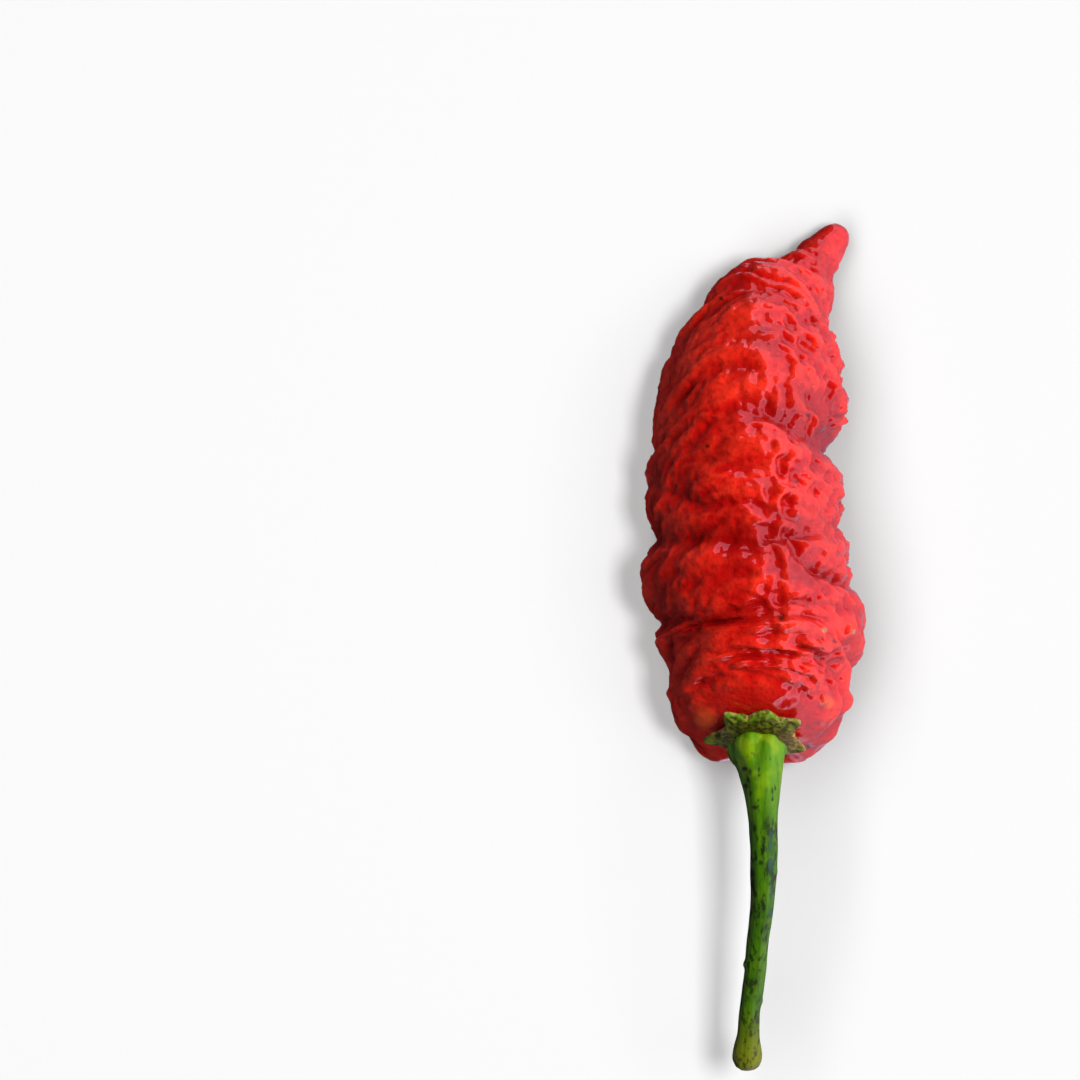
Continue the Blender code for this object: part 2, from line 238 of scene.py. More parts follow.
# Small features. Stem spots and painted sheen: x, y, width, length. Stem nubs: station, angle, height, size.
# Spots on the pod: x, y, size, depth.
STEM_SPOTS = (
    (-0.0012, -0.0156, 0.00045, 0.00035), (-0.0006, -0.0160, 0.00030, 0.00050),
    (-0.0008, -0.0170, 0.00035, 0.00055), (-0.0010, -0.0178, 0.00050, 0.00035),
    (-0.0006, -0.0187, 0.00025, 0.00040), (0.0006, -0.0164, 0.00016, 0.00018),
    (0.0023, -0.0184, 0.00016, 0.00050), (0.0001, -0.0205, 0.00045, 0.00028),
    (0.0012, -0.0245, 0.00030, 0.00022), (0.0000, -0.0232, 0.00025, 0.00060),
    (0.0009, -0.0276, 0.00040, 0.00030), (-0.0002, -0.0290, 0.00030, 0.00060),
)
STEM_SHEEN = ((0.0021, -0.0262, 0.0006, 0.0026), (0.0020, -0.0325, 0.0005, 0.0022))
STEM_NUBS = ((0.0296, 10, 0.0003, 0.0005), (0.0170, 150, 0.0002, 0.0006), (0.0345, 200, 0.00025, 0.0006))
DARK_SPOTS = (
    (0.0034, 0.0039, 0.00045, 0.0006), (0.0104, 0.0008, 0.00030, 0.0003), (0.0088, -0.0001, 0.00022, 0.0001),
    (-0.0061, 0.0260, 0.00030, 0.0001), (0.0073, -0.0130, 0.00035, 0.0001), (-0.0041, 0.0453, 0.00025, 0.0),
    (0.0070, 0.0300, 0.00030, 0.0001), (0.0054, 0.0214, 0.00020, 0.0),
)
PALE_SPOTS = ((0.0090, 0.0023, 0.00032, -0.0001), (0.0129, 0.0020, 0.00026, -0.0001))
BRIGHT_SPOTS = ((-0.0062, -0.0092, 0.0014, -0.0003), (0.0096, -0.0071, 0.0008, -0.0002))
# Skin whose normal rises less than this gets no spot: it counts as this far off
FACES_UP = 0.05
FAR_OFF = 1e6

# Colours of the skin, the leaf and the stalk
RED = (0.66, 0.006, 0.004)
# DEEP_RED is also the pod's painted shade in its folds and troughs, and ORANGE_RED also its painted sheen on
# the crests
DEEP_RED = (0.31, 0.002, 0.002)
ORANGE_RED = (0.92, 0.034, 0.014)
ORANGE = (0.90, 0.085, 0.015)
TAN = (0.42, 0.28, 0.11)
BLEMISH = (0.035, 0.006, 0.002)
OLIVE = (0.190, 0.215, 0.012)
DARK_OLIVE = (0.042, 0.050, 0.005)
BROWN = (0.26, 0.13, 0.045)
LIME = (0.115, 0.290, 0.002)
GREEN = (0.048, 0.150, 0.003)
DARK_GREEN = (0.016, 0.058, 0.003)
YELLOW_GREEN = (0.27, 0.39, 0.004)
OLIVE_YELLOW = (0.17, 0.19, 0.008)
FLECK = (0.012, 0.016, 0.006)
# The teal of a painted sheen on the stem
PAINTED_SHEEN = (0.03, 0.10, 0.075)

# The floor is grey and its own lamps light it to white, so that little of the pod's red light shows on it
FLOOR_SIZE = 8.0
FLOOR_GREY = (0.16, 0.16, 0.16)
LOOK_AT = Vector((0.0, 0.0, 0.0))

# Lights: place, size across and high, radiance, colour
KEY = ((0.58, 0.30, 1.05), (0.70, 0.70), 13.2, (1.0, 1.0, 1.0))
FILL = ((0.75, -0.55, 0.55), (0.50, 0.50), 2.8, (1.0, 0.96, 1.0))
FLOOR_KEY = ((0.26, 0.03, 1.15), (0.30, 0.20), 200.0, (1.0, 1.0, 1.0))
FLOOR_SIDE = ((0.62, 0.03, 1.00), (0.50, 0.60), 11.0, (1.0, 1.0, 1.0))
FLOOR_SOFT = ((-0.40, 0.0, 1.20), (1.70, 0.70), 17.0, (1.0, 1.0, 1.0))

# What the gloss mirrors: a bright wall on the right and far side of a dim room. Its upper edge follows the
# slope, it ends on the left, and a brighter rim of place, width and radiance runs inside the edge. Towards
# the floor it fades to the share of WALL_FOOT.
WALL_SLOPE = (1.15, 0.85)
WALL_END = (3.0, 0.25)
WALL_EDGE = 0.06
WALL_RADIANCE = 1.3
WALL_RIM = (0.12, 0.12, 1.8)
WALL_FOOT = 0.35
WALL_COLOR = (1.0, 0.84, 1.12)
ROOM_RADIANCE = 0.008


def hermite(knots, values, at):
    """Smooth curve through the values at the knots, read at the places in at."""
    values = np.asarray(values, float)
    slopes = np.gradient(values, knots, axis=0)
    i = np.clip(np.searchsorted(knots, at, side="right") - 1, 0, len(knots) - 2)
    span = (knots[i + 1] - knots[i])[..., None]
    t = np.clip((at - knots[i])[..., None] / span, 0, 1)
    return (
        (2 * t**3 - 3 * t**2 + 1) * values[i]
        + (t**3 - 2 * t**2 + t) * span * slopes[i]
        + (3 * t**2 - 2 * t**3) * values[i + 1]
        + (t**3 - t**2) * span * slopes[i + 1]
    )


class Spine:
    """A centre line with a radius, domed at both ends, measured by its length."""

    def __init__(self, rows, first_dome, last_dome):
        self.rows = np.array(rows)
        steps = np.linalg.norm(np.diff(self.rows[:, :3], axis=0), axis=1)
        self.knots = np.concatenate([[0], np.cumsum(steps)])
        self.length = self.knots[-1]
        self.domes = first_dome, last_dome

    def read(self, station):
        """Centre, side, up and radius at each station. Side points right when looking along the line."""
        here = hermite(self.knots, self.rows, station)
        ahead = hermite(self.knots, self.rows, np.minimum(station + SMALL_STEP, self.length))
        behind = hermite(self.knots, self.rows, np.maximum(station - SMALL_STEP, 0))
        along = (ahead - behind)[..., :3]
        along /= np.linalg.norm(along, axis=-1, keepdims=True)
        up = np.array([0, 0, 1]) - along[..., 2:] * along
        up /= np.linalg.norm(up, axis=-1, keepdims=True)
        first = 1 - np.clip(station / self.domes[0], 0, 1)
        last = 1 - np.clip((self.length - station) / self.domes[1], 0, 1)
        dome = ((1 - first**DOME_FULLNESS) * (1 - last**DOME_FULLNESS)) ** (1 / DOME_FULLNESS)
        return here[..., :3], np.cross(along, up), up, here[..., 3] * dome

    def even_stations(self, count):
        """Stations for rings that lie evenly along the outer profile, both poles included."""
        fine = self.length * (1 - np.cos(np.linspace(0, math.pi, 4000))) / 2
        radius = self.read(fine)[3]
        run = np.concatenate([[0], np.cumsum(np.hypot(np.diff(fine), np.diff(radius)))])
        return np.interp(np.linspace(0, run[-1], count + 1), run, fine)


def stem_rows():
    """The stem's foot stands a clearance above the calyx's collar, and its first rise is square to it."""
    start, ahead = np.array(POD_SPINE)[:2, :3]
    outward = (start - ahead) / np.linalg.norm(start - ahead)
    foot = start + outward * (2 * CLEARANCE + CALYX_EDGE + CALYX_COLLAR)
    rise = foot + outward * STEM_FOOT_RISE
    return [(*foot, STEM_FOOT_RADIUS), (*rise, STEM_FOOT_RADIUS), *STEM_SPINE]


POD = Spine(POD_SPINE, SHOULDER_DOME, TIP_DOME)
STEM = Spine(stem_rows(), STEM_HEAD_DOME, STEM_END_DOME)


def ramp(value, low, high):
    """0 below low, 1 above high, smooth between."""
    t = np.clip((value - low) / (high - low), 0, 1)
    return t * t * (3 - 2 * t)


def sampled(x, y, z):
    """Gradient noise, about -1 to 1, at each point."""
    x, y, z = np.broadcast_arrays(x, y, z)
    values = [noise.noise(Vector(p)) for p in zip(x.ravel(), y.ravel(), z.ravel())]
    return np.array(values).reshape(x.shape)


def nearest_cell(x, y, z):
    """Distance from each point to the nearest of the points scattered one to a cell."""
    x, y, z = np.broadcast_arrays(x, y, z)
    values = [noise.voronoi(Vector(p))[0][0] for p in zip(x.ravel(), y.ravel(), z.ravel())]
    return np.array(values).reshape(x.shape)


def pillows(value, roundness):
    """Noise folded at 0 into round pillows with creases between them."""
    return PILLOW_HEIGHT * np.abs(value) ** roundness - PILLOW_MEAN


def pod_base(station, angle):
    """The pod without its folds: three faint chambers round a spine, a little flat below."""
    centre, side, up, radius = POD.read(station)
    turn = np.radians(angle)
    ridge = np.radians(CHAMBER_RIDGE + CHAMBER_TWIST * station)
    lobing = 1 + CHAMBER_SWELL * np.cos(CHAMBERS * (turn - ridge))
    across = (radius * lobing * np.cos(turn))[..., None]
    upward = (radius * lobing * np.sin(turn) * BELLY_FLATNESS)[..., None]
    return centre + across * side + upward * up


def pod_base_normal(station, angle):
    """Outward normal of the pod without its folds."""
    station = np.clip(station, 4 * SMALL_STEP, POD.length - 4 * SMALL_STEP)
    along = pod_base(station + SMALL_STEP, angle) - pod_base(station - SMALL_STEP, angle)
    round_it = pod_base(station, angle + 0.2) - pod_base(station, angle - 0.2)
    normal = np.cross(along, round_it)
    return normal / np.linalg.norm(normal, axis=-1, keepdims=True)


def folds(station, angle, wander):
    """Depth of the deep folds, each between two swollen lips."""
    total = np.zeros(station.shape)
    for stem_width, tip_width, points in FOLDS:
        angles, stations, depths = np.array(points).T
        at = np.interp(angle, angles, stations, period=360)
        depth = np.interp(angle, angles, depths, period=360)
        away = station - at - wander
        groove = np.exp(-np.abs(away / np.where(away < 0, stem_width, tip_width)) ** 1.5)
        lip = np.exp(-((away / FOLD_LIP_WIDTH) ** 2))
        total -= depth * (groove - FOLD_LIP * lip)
    return total


def swellings(station, angle):
    total = np.zeros(station.shape)
    for centre, at, height, width, length in SWELLINGS:
        turn = (angle - centre + 180) % 360 - 180
        total += height * np.exp(-((turn / width) ** 2) - ((station - at) / length) ** 2)
    return total


def calm_ends(station):
    """Share of the wrinkles left near the calyx and along the beak."""
    beak = 0.12 + 0.88 * ramp(POD.length - station, 0.001, SMOOTH_BEAK)
    return ramp(station, -0.0010, SMOOTH_SHOULDER) * beak


def section(station, angle):
    """Where a place lies in the pod's section, and its station along the bowed wrinkles."""
    turn = np.radians(angle)
    radius = POD.read(station)[3]
    bowed = station - WRINKLE_BOW * np.sin(turn) * ramp(POD.length - station, 0.004, 0.020)
    return radius * np.cos(turn), radius * np.sin(turn), bowed


def soft_side(angle):
    """Share of the wrinkles left round the pod: they are shallower on its upper left."""
    centre, width, change = SOFT_SIDE
    return 1 - change * np.exp(-(((angle - centre) / width) ** 2))


def wrinkles(station, angle):
    """Height of the transverse wrinkles."""
    x, z, bowed = section(station, angle)
    total = np.zeros(station.shape)
    for number, (length, width, height) in enumerate(WRINKLES):
        shift = 7.3 * number
        drift = 0.35 * sampled(station / (2 * length) + shift, x / width, z / width)
        ridge = sampled(bowed / length + drift, x / width + shift, z / width - shift)
        total += height * pillows(ridge, 0.85)
    return total * soft_side(angle) * calm_ends(station)


def pod_relief(station, angle):
    """Height of the folded skin over the plain pod."""
    x, z, _ = section(station, angle)
    wander = 0.0007 * sampled(station / 0.008, x / 0.006, z / 0.006)
    broad = folds(station, angle, wander) + swellings(station, angle)
    return broad * calm_ends(station) + wrinkles(station, angle)


def pod_crinkle(station, angle):
    """Height of the fine relief: creased pillows on the left, dimples on the right, dents round the calyx."""
    x, z, bowed = section(station, angle)
    right = ramp(np.cos(np.radians(angle)), -0.25, 0.35)
    total = np.zeros(station.shape)
    for number, (length, width, left_height, right_height) in enumerate(CRINKLES):
        shift = 31.7 + 9.1 * number
        drift = 0.5 * sampled(station / (2.2 * length) + shift, x / width, z / width)
        pillow = pillows(sampled(bowed / length + drift, x / width + drift + shift, z / width - shift), 0.9)
        total -= pillow * (left_height * (1 - right) + right_height * right)
    total *= FAINT_CRINKLES + (1 - FAINT_CRINKLES) * ramp(station, *CRINKLES_GROW)
    for number, (length, width, depth, lean) in enumerate(DIMPLES):
        shift = 3.1 + 5.3 * number
        leaning = (bowed + lean * z) / length + shift + 0.3 * sampled(station / length, x / width, z / width)
        near = nearest_cell(leaning, x / width + shift, z / width)
        few = ramp(sampled(station / 0.006, x / 0.005 + shift, z / 0.005), -0.55, 0.0)
        total += depth * (0.45 - 1.4 * (1 - ramp(near, 0.14, 0.72))) * right * few
    dents = sampled(station / 0.0024, x / 0.0030, z / 0.0030)
    dents += 0.5 * sampled(station / 0.0011, x / 0.0016, z / 0.0016)
    shoulder = ramp(station, *DENTS_IN) * (1 - ramp(station, *DENTS_OUT))
    return total * calm_ends(station) + SHOULDER_DENTS * dents * shoulder


def pod_point(station, angle):
    """A point of the pod's folded skin without its fine relief, before it is set down."""
    relief = pod_relief(station, angle)[..., None]
    return pod_base(station, angle) + relief * pod_base_normal(station, angle)


def stem_grid():
    """Rings of the stem, ribbed and finely streaked, with a knuckled head and a rough cut end."""
    station = STEM.even_stations(STEM_RINGS)[:, None]
    turn = np.linspace(0, 2 * math.pi, STEM_SEGMENTS, endpoint=False)[None, :]
    station, turn = np.broadcast_arrays(station, turn)
    centre, side, up, radius = STEM.read(station)
    head = 1 - ramp(station, 0.0024, 0.0075)
    ribs = 1 + RIB_DEPTH * np.cos(STEM_RIBS * turn + 40 * station) * (0.35 + 0.65 * head)
    knuckles = KNUCKLE_HEIGHT * np.cos(KNUCKLES * turn + 0.7) * np.exp(-(((station - 0.0010) / 0.0011) ** 2))
    x, z = np.cos(turn), np.sin(turn)
    streaks = sum(high * sampled(station / long, many * x, many * z) for high, long, many in STEM_STREAKS)
    lumps = STEM_LUMPS * sampled(station / 0.0024 + 5.0, 1.3 * x, 1.3 * z)
    ribs += knuckles + streaks + lumps * ramp(station, 0.004, 0.012)
    end = ramp(station, STEM.length - 0.0012, STEM.length)
    ribs += END_ROUGHNESS * end * sampled(station / 0.0008, 2.5 * x, 2.5 * z)
    for at, where, height, size in STEM_NUBS:
        away = (np.degrees(turn) - where + 180) % 360 - 180
        reach = radius * np.radians(away)
        ribs += height / np.maximum(radius, 0.0005) * np.exp(-((station - at) ** 2 + reach**2) / size**2)
    reach = (radius * ribs)[..., None]
    turn = turn[..., None]
    point = centre + reach * (np.cos(turn) * side + np.sin(turn) * up)
    marks = {"along": station / STEM.length, "turn": np.degrees(turn[..., 0]) / 360}
    # Real dark spots, and the places of the stem's painted sheen
    for kind, spots in (("dark", STEM_SPOTS), ("painted_sheen", STEM_SHEEN)):
        marks[kind] = np.zeros(station.shape)
        for across, at, width, length in spots:
            away = ((point[..., 0] - across) / width) ** 2 + ((point[..., 1] - at) / length) ** 2
            marks[kind] = np.maximum(marks[kind], np.exp(-(away**2)) * (np.sin(turn[..., 0]) > 0))
    return point, marks


def calyx_reach(angle):
    """Distance from the stem's middle to the calyx's edge: pointed lobes on a round rim."""
    reach = np.full(angle.shape, CALYX_RIM)
    for centre, tip in CALYX_LOBES:
        turn = np.abs((angle - centre + 180) % 360 - 180) / LOBE_HALF_ANGLE
        reach = np.maximum(reach, CALYX_RIM + (tip - CALYX_RIM) * np.clip(1 - turn, 0, 1) ** 1.2)
    return reach


def calyx_grid():
    """Rings of the calyx: out over its top to the ragged edge, then back beneath, a clearance off the pod."""
    stations = POD.even_stations(2000)
    radii = POD.read(stations)[3]
    shoulder = radii < radii.max() * 0.95
    shoulder &= stations < POD.length / 2
    angle = np.linspace(0, 360, CALYX_SEGMENTS, endpoint=False)[None, :]
    half = CALYX_RINGS // 2
    share = 1 - np.abs(np.arange(CALYX_RINGS + 1) - half)[:, None] / half
    over = (np.arange(CALYX_RINGS + 1) < half)[:, None]
    share, angle, over = np.broadcast_arrays(share, angle, over)
    turn = np.radians(angle)
    x, z = np.cos(turn), np.sin(turn)
    ragged = sum(deep * sampled(many * x, many * z, place) for deep, many, place in CALYX_RAGGED)
    distance = (calyx_reach(angle) + ragged) * share**0.8
    station = np.interp(distance, radii[shoulder], stations[shoulder])
    collar = CALYX_COLLAR * (1 - ramp(distance, COLLAR_RADIUS, COLLAR_RADIUS + COLLAR_WIDTH))
    lift = LOBE_LIFT * ramp(distance, CALYX_RIM - 0.0006, CALYX_RIM + 0.0024)
    curl = CALYX_CURL * sampled(2.2 * x, 2.2 * z, 9.1) * ramp(share, 0.7, 1.0)
    vein = np.zeros(angle.shape)
    for centre, _ in CALYX_LOBES:
        away = np.radians((angle - centre + 180) % 360 - 180) * distance
        vein = np.maximum(vein, np.exp(-((away / VEIN_WIDTH) ** 2)))
    vein *= ramp(distance, 0.0035, 0.0048)
    crumple = sampled(distance / 0.0011, 4.2 * x, 4.2 * z) + 0.5 * sampled(distance / 0.0005, 9 * x, 9 * z)
    outside = ramp(distance, 0.0036, 0.0046) * ramp(1 - share, 0.0, 0.10)
    skin = (VEIN_HEIGHT * vein + CRUMPLE_HEIGHT * crumple) * outside
    rim = np.sqrt(np.clip(1 - ((share - 0.93) / 0.07).clip(0, 1) ** 2, 0, 1))
    middle = CALYX_EDGE / 2
    height = CLEARANCE + lift + curl + middle + np.where(over, middle * rim + collar + skin, -middle * rim)
    marks = {"rim": share, "vein": vein, "turn": angle / 360, "crumple": crumple}
    return pod_point(station, angle) + height[..., None] * pod_base_normal(station, angle), marks


def pod_grid():
    """Rings of the pod with every crinkle, and the marks its colours follow."""
    station = POD.even_stations(POD_RINGS)[:, None]
    angle = np.linspace(0, 360, POD_SEGMENTS, endpoint=False)[None, :]
    station, angle = np.broadcast_arrays(station, angle)
    relief, crinkle = pod_relief(station, angle), pod_crinkle(station, angle)
    marks = {"relief": relief, "crinkle": crinkle, "wrinkle": wrinkles(station, angle)}
    normal = pod_base_normal(station, angle)
    point = pod_base(station, angle) + (relief + crinkle)[..., None] * normal
    for kind, spots in (("dark", DARK_SPOTS), ("pale", PALE_SPOTS), ("bright", BRIGHT_SPOTS)):
        marks[kind] = np.zeros(station.shape)
        for x, y, size, depth in spots:
            away = (point[..., 0] - x) ** 2 + (point[..., 1] - y) ** 2 + FAR_OFF * (normal[..., 2] < FACES_UP)
            share = np.exp(-((away / size**2) ** 2))
            point = point - depth * share[..., None] * normal
            marks[kind] += share
    return point, marks


def body(name, grid, marks, made_of):
    """A UV sphere moved to the grid, whose first and last rows are its poles. It is set down on the floor."""
    rings, segments = grid.shape[0] - 1, grid.shape[1]
    grid = np.maximum(grid + SET_DOWN, (-1, -1, 0))
    form = bmesh.new()
    layers = {key: form.verts.layers.float.new(key) for key in marks}
    bmesh.ops.create_uvsphere(form, u_segments=segments, v_segments=rings, radius=1)
    for vertex in form.verts:
        ring = round(vertex.co.angle(Vector((0, 0, 1))) / math.pi * rings)
        turn = math.atan2(vertex.co.y, vertex.co.x) / (2 * math.pi)
        segment = round(turn * segments) % segments
        pole = ring in (0, rings)
        vertex.co = grid[ring].mean(axis=0) if pole else grid[ring, segment]
        for key, layer in layers.items():
            vertex[layer] = marks[key][ring].mean() if pole else marks[key][ring, segment]
    mesh = bpy.data.meshes.new(name)
    form.to_mesh(mesh)
    form.free()
    mesh.shade_smooth()
    mesh.materials.append(made_of)
    made = bpy.data.objects.new(name, mesh)
    bpy.context.scene.collection.objects.link(made)
    return made


class Nodes:
    """Short ways to build a tree of nodes."""

    def __init__(self, tree):
        self.tree = tree

    def node(self, kind, **settings):
        made = self.tree.nodes.new(kind)
        for key, value in settings.items():
            setattr(made, key, value)
        return made

    def feed(self, socket, value):
        """Sets a socket to a value, or links it to another socket."""
        if isinstance(value, bpy.types.NodeSocket):
            self.tree.links.new(value, socket)
        else:
            socket.default_value = value

    def between(self, value, low, high, to_low=0.0, to_high=1.0):
        """Carries the range low to high over to another range, and holds its ends beyond."""
        made = self.node("ShaderNodeMapRange")
        self.feed(made.inputs["Value"], value)
        made.inputs["From Min"].default_value = low
        made.inputs["From Max"].default_value = high
        made.inputs["To Min"].default_value = to_low
        made.inputs["To Max"].default_value = to_high
        return made.outputs["Result"]

    def math(self, operation, first, second=0.0):
        made = self.node("ShaderNodeMath", operation=operation)
        self.feed(made.inputs[0], first)
        self.feed(made.inputs[1], second)
        return made.outputs["Value"]


class Shader(Nodes):
    """A material and short ways to build its nodes."""

    def __init__(self, name):
        self.material = bpy.data.materials.new(name)
        self.material.use_nodes = True
        super().__init__(self.material.node_tree)
        self.main = self.tree.nodes["Principled BSDF"]
        self.place = self.node("ShaderNodeTexCoord").outputs["Object"]

    def mark(self, name):
        """What the mesh says of a place under that name."""
        return self.node("ShaderNodeAttribute", attribute_name=name).outputs["Fac"]

    def turned(self, middle):
        """How far round a place lies from the middle, both as shares of a full turn."""
        return self.math("ABSOLUTE", self.between(self.mark("turn"), 0, 1, -middle, 1 - middle))

    def noise(self, scale, detail=3.0, stretch=(1, 1, 1), roughness=0.5):
        mapping = self.node("ShaderNodeMapping")
        mapping.inputs["Scale"].default_value = stretch
        self.feed(mapping.inputs["Vector"], self.place)
        made = self.node("ShaderNodeTexNoise")
        self.feed(made.inputs["Vector"], mapping.outputs["Vector"])
        made.inputs["Scale"].default_value = scale
        made.inputs["Detail"].default_value = detail
        made.inputs["Roughness"].default_value = roughness
        return made.outputs["Fac"]

    def mix(self, share, first, second):
        made = self.node("ShaderNodeMix", data_type="RGBA")
        sockets = {s.identifier: s for s in made.inputs}
        self.feed(sockets["Factor_Float"], share)
        self.feed(sockets["A_Color"], first if isinstance(first, bpy.types.NodeSocket) else (*first, 1))
        self.feed(sockets["B_Color"], second if isinstance(second, bpy.types.NodeSocket) else (*second, 1))
        return {s.identifier: s for s in made.outputs}["Result_Color"]

    def bump(self, height, distance, strength):
        made = self.node("ShaderNodeBump")
        self.feed(made.inputs["Height"], height)
        made.inputs["Distance"].default_value = distance
        made.inputs["Strength"].default_value = strength
        return made.outputs["Normal"]


def pod_skin():
    """Glossy red skin: painted shade darkens the folds and the troughs of the wrinkles and crinkles, painted
    sheen makes their crests orange-red, and there are a few blemishes.
    """
    s = Shader("pod_skin")
    # Painted sheen: the crests of the wrinkles turn orange-red
    color = s.mix(s.between(s.mark("wrinkle"), -0.00005, 0.0007), RED, ORANGE_RED)
    color = s.mix(s.between(s.noise(420, 3), 0.45, 0.75, 0.0, 0.5), color, ORANGE_RED)
    # Painted sheen on the crinkles' crests, then painted shade in their troughs, in the wrinkles' troughs and
    # in the folds
    color = s.mix(s.between(s.mark("crinkle"), 0.0, 0.0002, 0.0, 0.7), color, ORANGE_RED)
    color = s.mix(s.between(s.mark("crinkle"), -0.00025, -0.00005, 0.45, 0.0), color, DEEP_RED)
    color = s.mix(s.between(s.mark("wrinkle"), -0.0007, -0.0001, 0.7, 0.0), color, DEEP_RED)
    color = s.mix(s.between(s.mark("relief"), -0.0016, -0.0003, 1.0, 0.0), color, DEEP_RED)
    color = s.mix(s.between(s.noise(160, 2), 0.5, 0.72, 0.0, 0.5), color, DEEP_RED)
    color = s.mix(s.between(s.noise(1400, 2), 0.48, 0.66, 0.0, 0.4), color, DEEP_RED)
    color = s.mix(s.mark("bright"), color, ORANGE)
    color = s.mix(s.mark("pale"), color, TAN)
    color = s.mix(s.mark("dark"), color, BLEMISH)
    s.feed(s.main.inputs["Base Color"], color)
    s.feed(s.main.inputs["Roughness"], s.between(s.noise(900, 2), 0.3, 0.7, 0.28, 0.40))
    s.main.inputs["Specular IOR Level"].default_value = 0.05
    s.main.inputs["Coat Weight"].default_value = 1.0
    s.main.inputs["Coat Roughness"].default_value = 0.07
    s.feed(s.main.inputs["Normal"], s.bump(s.noise(1900, 3), 0.00016, 0.8))
    return s.material


def calyx_green():
    """Dull olive leaf with tan, dry rims, a brighter vein up the top lobe, browner lobes on the right, and
    painted shade in the hollows of its crumples.
    """
    s = Shader("calyx_green")
    patch = s.noise(1600, 3)
    color = s.mix(s.between(patch, 0.42, 0.57), OLIVE, DARK_OLIVE)
    # Painted shade: darker olive in the hollows of the crumpled leaf
    color = s.mix(s.between(s.mark("crumple"), -0.5, 0.0, 0.8, 0.0), color, DARK_OLIVE)
    color = s.mix(s.between(s.noise(2600, 2), 0.56, 0.66, 0.0, 0.7), color, BROWN)
    right = s.between(s.turned(0.5), 0.36, 0.46)
    color = s.mix(s.math("MULTIPLY", right, s.between(patch, 0.3, 0.6, 0.9, 0.3)), color, BROWN)
    upper = s.between(s.turned(0.30), 0.08, 0.15, 1.0, 0.0)
    tips = s.math("MULTIPLY", upper, s.between(s.mark("rim"), 0.74, 0.94, 0.0, 0.75))
    tips = s.math("MULTIPLY", tips, s.between(s.noise(1300, 2), 0.42, 0.58, 0.15, 1.0))
    color = s.mix(s.math("MAXIMUM", s.math("MULTIPLY", s.mark("vein"), 0.35), tips), color, LIME)
    rim = s.math("ADD", s.mark("rim"), s.between(s.noise(1100, 3), 0.3, 0.7, -0.08, 0.04))
    color = s.mix(s.between(rim, 0.965, 0.99, 0.0, 0.85), color, TAN)
    s.feed(s.main.inputs["Base Color"], color)
    s.main.inputs["Roughness"].default_value = 0.55
    s.main.inputs["Specular IOR Level"].default_value = 0.25
    s.feed(s.main.inputs["Normal"], s.bump(s.noise(2200, 3), 0.00012, 0.5))
    return s.material


def stem_green():
    """Satin stalk: lime at the head, then mid green, olive by the brown cut end, with dark flecks and a
    streak of painted teal sheen.
    """
    s = Shader("stem_green")
    along = s.mark("along")
    streak = s.noise(700, 3, (1.0, 0.10, 1.0))
    color = s.mix(s.between(along, 0.05, 0.30), LIME, GREEN)
    color = s.mix(s.between(streak, 0.45, 0.70, 0.0, 0.75), color, DARK_GREEN)
    yellow = s.between(s.noise(450, 2), 0.5, 0.66)
    yellow = s.math("MULTIPLY", yellow, s.between(along, 0.08, 0.22, 0.56, 0.1))
    color = s.mix(yellow, color, YELLOW_GREEN)
    color = s.mix(s.between(along, 0.80, 0.95), color, OLIVE_YELLOW)
    flecks = s.noise(1500, 3, (1.0, 0.45, 1.0), 0.6)
    dirty = s.math("MULTIPLY", s.between(s.turned(0.42), 0.10, 0.24, 1, 0), s.between(along, 0.20, 0.26))
    dirty = s.math("MULTIPLY", dirty, s.between(along, 0.40, 0.62, 1, 0.25))
    few = s.between(s.noise(260, 2), 0.40, 0.60)
    patch = s.math("MULTIPLY", s.between(flecks, 0.60, 0.66), s.math("MAXIMUM", few, dirty))
    patch = s.math("MAXIMUM", patch, s.math("MULTIPLY", s.between(flecks, 0.47, 0.54), dirty))
    dense = s.math("MULTIPLY", s.between(along, 0.20, 0.32), s.between(along, 0.62, 0.80, 1.0, 0.8))
    patch = s.math("MAXIMUM", patch, s.math("MULTIPLY", s.between(flecks, 0.53, 0.60), dense))
    patch = s.math("MAXIMUM", patch, s.math("MULTIPLY", s.mark("dark"), s.between(flecks, 0.30, 0.44)))
    color = s.mix(s.math("MULTIPLY", patch, 0.9), color, FLECK)
    # Painted sheen: a teal streak on the stem's upper right
    color = s.mix(s.math("MULTIPLY", s.mark("painted_sheen"), s.between(flecks, 0.45, 0.62, 0.0, 0.9)), color, PAINTED_SHEEN)
    color = s.mix(s.between(along, 0.990, 0.998), color, BROWN)
    s.feed(s.main.inputs["Base Color"], color)
    s.feed(s.main.inputs["Roughness"], s.between(streak, 0.3, 0.7, 0.35, 0.5))
    s.main.inputs["Specular IOR Level"].default_value = 0.25
    s.feed(s.main.inputs["Normal"], s.bump(s.noise(1800, 3, (1.0, 0.25, 1.0)), 0.00012, 0.4))
    return s.material


def plain(name, color, roughness):
    s = Shader(name)
    s.main.inputs["Base Color"].default_value = (*color, 1)
    s.main.inputs["Roughness"].default_value = roughness
    s.main.inputs["Specular IOR Level"].default_value = 0.0
    return s.material


def floor():
    mesh = bpy.data.meshes.new("floor")
    form = bmesh.new()
    bmesh.ops.create_grid(form, x_segments=1, y_segments=1, size=FLOOR_SIZE / 2)
    form.to_mesh(mesh)
    form.free()
    mesh.materials.append(plain("floor_plain", FLOOR_GREY, 0.9))
    made = bpy.data.objects.new("floor", mesh)
    bpy.context.scene.collection.objects.link(made)
    made.visible_glossy = False
    return made


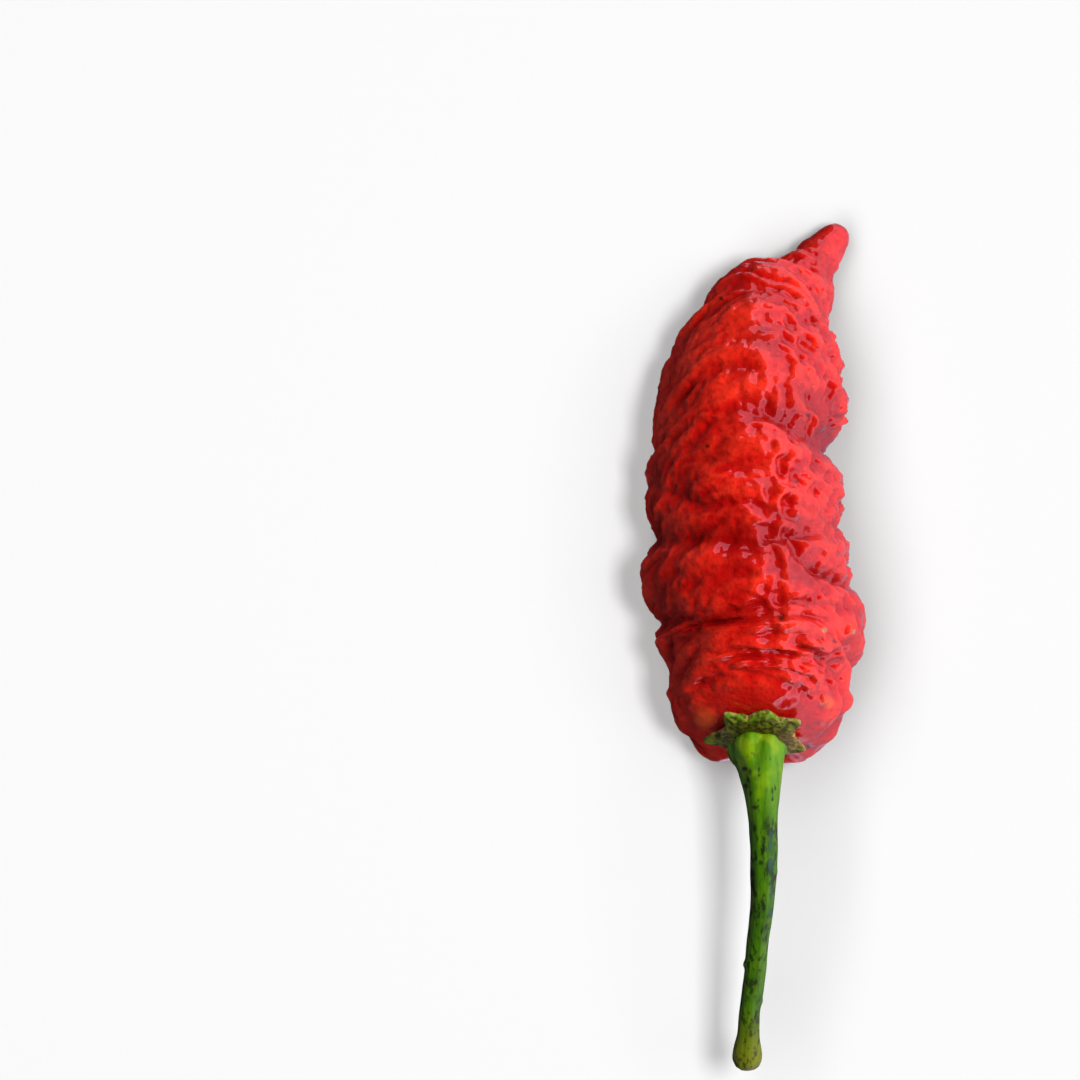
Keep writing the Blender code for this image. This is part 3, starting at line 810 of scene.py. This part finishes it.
def area_light(name, place, size, radiance, color, only=()):
    """A lamp that faces the chilli. With only, it lights just those objects, but every one casts a shadow."""
    data = bpy.data.lights.new(name, "AREA")
    data.shape = "RECTANGLE"
    data.size, data.size_y = size
    data.energy = radiance * math.pi * size[0] * size[1]
    data.color = color
    made = bpy.data.objects.new(name, data)
    made.location = place
    made.rotation_euler = (LOOK_AT - Vector(place)).to_track_quat("-Z", "Y").to_euler()
    made.visible_camera = False
    made.visible_glossy = False
    bpy.context.scene.collection.objects.link(made)
    if only:
        lit = bpy.data.collections.new(name + "_lit")
        for each in only:
            lit.objects.link(each)
        made.light_linking.receiver_collection = lit


def camera():
    data = bpy.data.cameras.new("camera")
    data.sensor_width = SENSOR
    data.lens = SENSOR * (CAMERA_HEIGHT - SHOWN_AT) / SHOWN_WIDTH
    data.clip_start, data.clip_end = 0.01, 20
    made = bpy.data.objects.new("camera", data)
    made.location = (*CAMERA_OVER, CAMERA_HEIGHT)
    bpy.context.scene.collection.objects.link(made)
    bpy.context.scene.camera = made


def surroundings():
    """The dim room with its bright wall. Only the gloss sees it, and the lamps light the rest."""
    world = bpy.data.worlds.new("room")
    world.use_nodes = True
    n = Nodes(world.node_tree)
    split = n.node("ShaderNodeSeparateXYZ")
    n.feed(split.inputs["Vector"], n.node("ShaderNodeTexCoord").outputs["Generated"])
    x, y, z = (split.outputs[axis] for axis in "XYZ")
    right = n.math("MULTIPLY", x, WALL_SLOPE[0])
    far = n.math("MULTIPLY", n.math("MAXIMUM", y), WALL_SLOPE[1])
    inside = n.math("SUBTRACT", n.math("ADD", right, far), n.math("MAXIMUM", z))
    inside = n.math("MINIMUM", inside, n.math("ADD", n.math("MULTIPLY", x, WALL_END[0]), WALL_END[1]))
    wall = n.between(inside, -WALL_EDGE, WALL_EDGE, ROOM_RADIANCE, WALL_RADIANCE)
    rim_at, rim_width, rim_radiance = WALL_RIM
    off_rim = n.math("DIVIDE", n.math("ABSOLUTE", n.math("SUBTRACT", inside, rim_at)), rim_width)
    rim = n.math("MULTIPLY", n.math("MAXIMUM", n.math("SUBTRACT", 1.0, off_rim)), rim_radiance)
    foot = n.math("MINIMUM", n.math("MAXIMUM", n.math("ADD", z, 1.0), WALL_FOOT), 1.0)
    background = world.node_tree.nodes["Background"]
    n.feed(background.inputs["Strength"], n.math("MULTIPLY", n.math("ADD", wall, rim), foot))
    background.inputs["Color"].default_value = (*WALL_COLOR, 1)
    bpy.context.scene.world = world
    world.cycles_visibility.diffuse = False
    world.cycles_visibility.camera = False
    bpy.context.scene.view_settings.view_transform = "Standard"


def main():
    made = {
        "pod": body("pod_fine", *pod_grid(), pod_skin()),
        "calyx": body("calyx_fine", *calyx_grid(), calyx_green()),
        "stem": body("stem_fine", *stem_grid(), stem_green()),
    }
    for node, piece in made.items():
        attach(piece, "root")
        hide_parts(node)
    ground = floor()
    area_light("key", *KEY, made.values())
    area_light("fill", *FILL, made.values())
    area_light("floor_key", *FLOOR_KEY, [ground])
    area_light("floor_side", *FLOOR_SIDE, [ground])
    area_light("floor_soft", *FLOOR_SOFT, [ground])
    surroundings()
    camera()


main()
